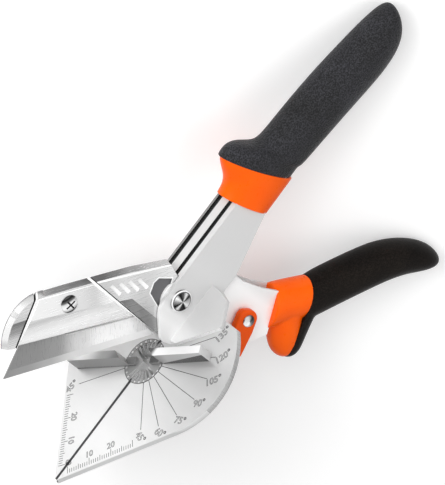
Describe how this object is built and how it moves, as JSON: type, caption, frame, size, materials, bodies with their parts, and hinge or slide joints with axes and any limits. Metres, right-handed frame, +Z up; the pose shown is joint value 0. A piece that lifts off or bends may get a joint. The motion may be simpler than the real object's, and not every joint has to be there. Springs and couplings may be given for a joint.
{
  "type": "angle shears",
  "caption": "Hand shears that cut trim and trunking at a set angle: a blade arm closes into a slotted plate with a turning angle fence; spring-opened, with a locking latch",
  "frame": {"origin": "middle of the tool's bounding box in plan, on the surface that it lies on, on its side", "axes": "+X runs from the plate's pointed tip towards the upper grip's end, along the longest extent; +Z is up, away from the surface that the tool lies on; +Y completes a right-handed frame, towards the side where the blade opens"},
  "size_m": [0.2101, 0.1498, 0.0856],
  "materials": {
    "plate_steel": "plated steel, light grey",
    "carrier_metal": "dark die casting",
    "fastener_steel": "zinc plated",
    "frame_steel": "satin nickel plate",
    "orange_plastic": "glossy orange",
    "black_grip": "black, fine leather grain",
    "bolt_chrome": "turned and polished",
    "nylon": "natural white",
    "disc_metal": "machined, satin",
    "spring_steel": "bright spring wire",
    "fence_metal": "cast, satin",
    "holder_steel": "polished plate",
    "blade_steel": "ground tool steel",
    "cover_chrome": "bright chrome",
    "bush_brass": "plain",
    "latch_orange": "orange enamel"
  },
  "bodies": {
    "frame": {"cutting_plate": "plate_steel", "plate_carrier": "carrier_metal", "plate_screws": "fastener_steel", "upper_channel": "frame_steel", "upper_collar": "orange_plastic", "upper_grip": "black_grip", "pivot_bolt": "bolt_chrome", "pivot_nut": "fastener_steel", "pivot_washers": "nylon", "disc_spring_washer": "spring_steel", "return_spring": "spring_steel"},
    "blade_arm": {"blade_holder": "holder_steel", "blade": "blade_steel", "blade_cover": "cover_chrome", "cover_screw": "bolt_chrome", "cover_nut": "fastener_steel", "pivot_bush": "bush_brass", "lower_channel": "frame_steel", "arm_rivets": "fastener_steel", "lower_collar": "orange_plastic", "lower_grip": "black_grip", "latch_rivet": "fastener_steel", "latch_washer": "nylon"},
    "fence": {"slit_disc": "disc_metal", "fence_left": "fence_metal", "fence_right": "fence_metal", "fence_screws": "fastener_steel"},
    "latch": {"latch_lever": "latch_orange"}
  },
  "joints": [
    {"name": "jaw_close", "type": "hinge", "parent": "frame", "child": "blade_arm", "pos_m": [-0.02598, 0.01755, 0.03968], "axis": [0.2465, -0.1926, 0.9498], "range_deg": [0, 39.4], "stiffness_Nm_per_rad": 0.5, "springref_deg": -20.05, "deforming": ["return_spring"]},
    {"name": "fence_turn", "type": "hinge", "parent": "frame", "child": "fence", "pos_m": [-0.0514, 0.0077, 0.04428], "axis": [0.0243, 0.981, 0.1926], "range_deg": [-75, 15]},
    {"name": "latch_swing", "type": "hinge", "parent": "blade_arm", "child": "latch", "pos_m": [-0.0169, -0.01411, 0.03575], "axis": [0.2465, -0.1926, 0.9498], "range_deg": [-70, 0]}
  ]
}
